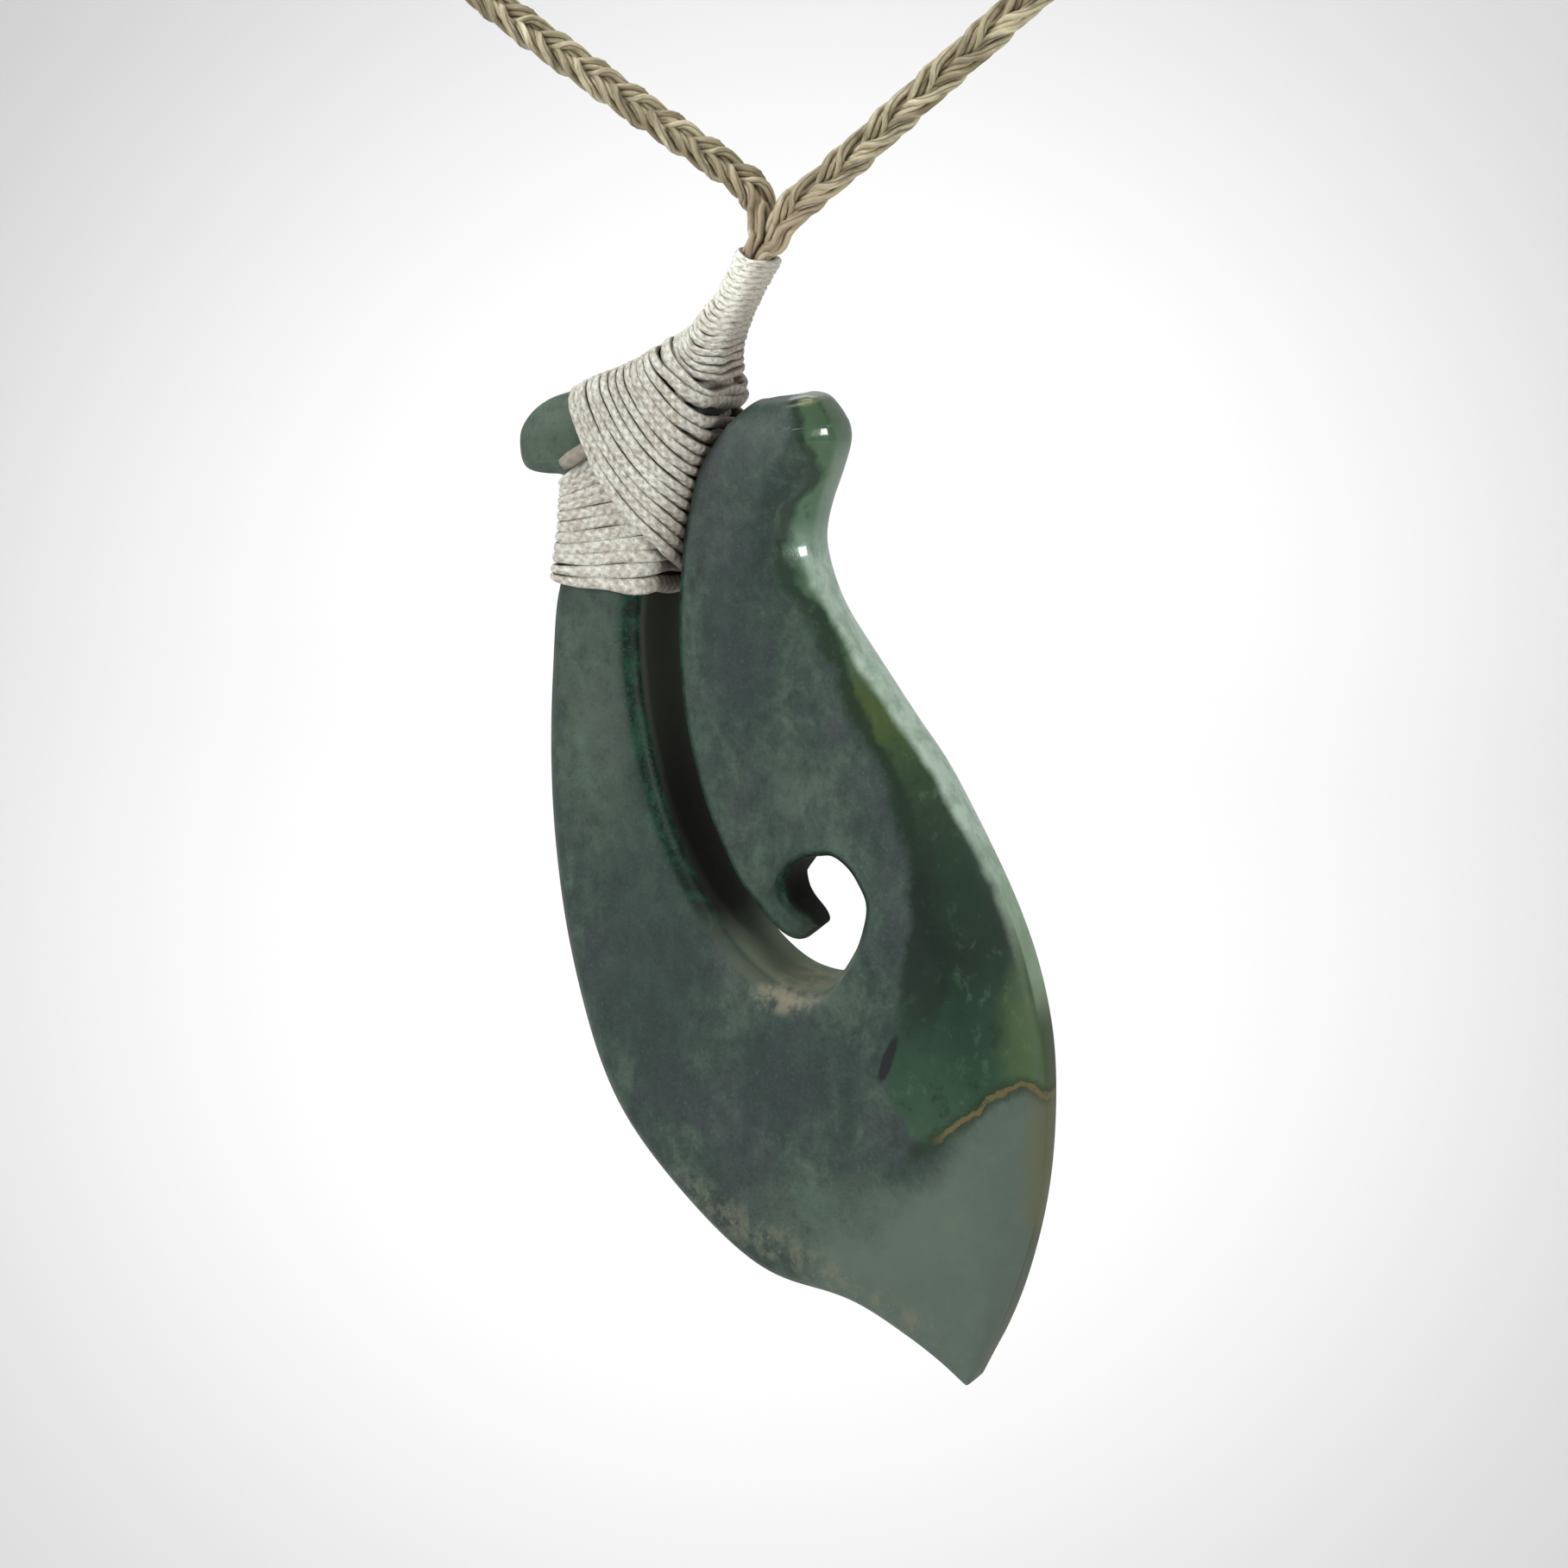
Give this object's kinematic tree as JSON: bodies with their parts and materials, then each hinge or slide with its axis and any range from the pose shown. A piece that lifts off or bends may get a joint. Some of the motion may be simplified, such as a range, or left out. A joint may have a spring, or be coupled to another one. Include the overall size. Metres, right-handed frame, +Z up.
{
  "type": "hei matau pendant on a plaited neck cord",
  "caption": "Carved greenstone fish-hook pendant, lashed with wound thread to a whole loop of plaited neck cord.",
  "frame": {"origin": "inner side of the neck cord at the middle of its back, where it lies on the nape", "axes": "+Z up; -Y the way the pendant's broad face looks, away from the wearer; +X towards the side of the hook's outer curve"},
  "size_m": [0.1648, 0.1622, 0.2651],
  "materials": {
    "greenstone": "polished",
    "lashing": "waxed",
    "plait": "matte"
  },
  "bodies": {
    "root": {"stone_hook": "greenstone", "shank_binding": "lashing", "diagonal_binding": "lashing", "stem_binding": "lashing", "plait_strand_a": "plait", "plait_strand_b": "plait", "plait_strand_c": "plait"}
  },
  "joints": []
}
